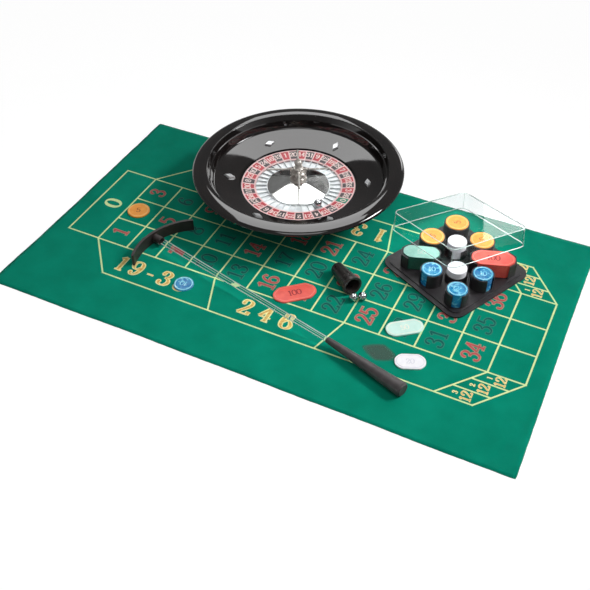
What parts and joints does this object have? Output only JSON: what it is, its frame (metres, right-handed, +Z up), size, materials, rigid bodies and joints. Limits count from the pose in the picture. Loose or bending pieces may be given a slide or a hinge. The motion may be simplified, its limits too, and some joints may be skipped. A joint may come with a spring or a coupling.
{
  "type": "tabletop roulette game set",
  "caption": "Tabletop roulette set laid out for play: green layout cloth, black wheel with chrome turret, clear-rod rake, and a chip tray with its clear lid leaning on the stacks",
  "frame": {"origin": "centre of the cloth's underside, on the table", "axes": "+X along the layout's columns towards the side bets, +Y towards the wheel's side, +Z up"},
  "size_m": [0.6, 0.4115, 0.0625],
  "materials": {
    "cloth_green": "felt",
    "bowl_black": "glossy",
    "base_black": "glossy",
    "pad_felt": "felt",
    "screw_steel": "plated",
    "spindle_steel": "turned",
    "washer_plastic": "matte",
    "deflector_chrome": "polished",
    "rotor_black": "glossy",
    "bush_brass": "turned",
    "number_print": "printed red and black",
    "pocket_metal": "metallised",
    "cone_metal": "metallised",
    "turret_chrome": "polished",
    "ball_steel": "polished",
    "tray_black": "satin",
    "chip_orange": "glossy",
    "chip_white": "glossy",
    "chip_blue": "glossy",
    "plaque_green": "glossy",
    "plaque_red": "glossy",
    "lid_clear": "clear",
    "rake_black": "satin",
    "rod_clear": "clear",
    "tube_black": "satin"
  },
  "bodies": {
    "table": {"playing_cloth": "cloth_green", "wheel_bowl": "bowl_black", "wheel_base": "base_black", "base_pad": "pad_felt", "base_screws": "screw_steel", "spindle": "spindle_steel", "thrust_washer": "washer_plastic", "deflectors": "deflector_chrome", "chip_tray": "tray_black", "round_guards": "tray_black", "plaque_guards": "tray_black", "orange_stack_back": "chip_orange", "orange_stack_left": "chip_orange", "orange_stack_right": "chip_orange", "white_stack_back": "chip_white", "white_stack_front": "chip_white", "blue_stack_left": "chip_blue", "green_plaque_stack": "plaque_green", "red_plaque_stack": "plaque_red", "orange_chip": "chip_orange", "blue_chip": "chip_blue", "red_plaque": "plaque_red", "green_plaque": "plaque_green", "white_plaque": "chip_white", "ball_tube": "tube_black", "spare_balls": "ball_steel"},
    "rotor": {"rotor_disc": "rotor_black", "bearing_bush": "bush_brass", "number_ring": "number_print", "pocket_ring": "pocket_metal", "rotor_cone": "cone_metal", "turret_base": "turret_chrome", "turret_column": "turret_chrome", "turret_hub": "turret_chrome", "turret_arms": "turret_chrome", "turret_finial": "turret_chrome", "wheel_ball": "ball_steel"},
    "lid": {"tray_lid": "lid_clear"},
    "rake": {"rake_blade": "rake_black", "rake_rod": "rod_clear", "rod_collar": "rake_black", "rake_handle": "rake_black", "handle_cap": "rake_black"},
    "blue_chips_right": {"blue_stack_right": "chip_blue"},
    "blue_chips_front": {"blue_stack_front": "chip_blue"}
  },
  "joints": [
    {"name": "rotor_spin", "type": "hinge", "parent": "table", "child": "rotor", "pos_m": [-0.058, 0.1055, 0.017], "axis": [0, 0, 1], "continuous": true},
    {"name": "lid_lift", "type": "slide", "parent": "table", "child": "lid", "axis": [0, 0, 1], "range_m": [0, 0.08]},
    {"name": "rake_lift", "type": "slide", "parent": "table", "child": "rake", "axis": [0, 0, 1], "range_m": [0, 0.08]},
    {"name": "blue_stack_right_lift", "type": "slide", "parent": "table", "child": "blue_chips_right", "axis": [0, 0, 1], "range_m": [0, 0.025]},
    {"name": "blue_stack_front_lift", "type": "slide", "parent": "table", "child": "blue_chips_front", "axis": [0, 0, 1], "range_m": [0, 0.025]}
  ]
}
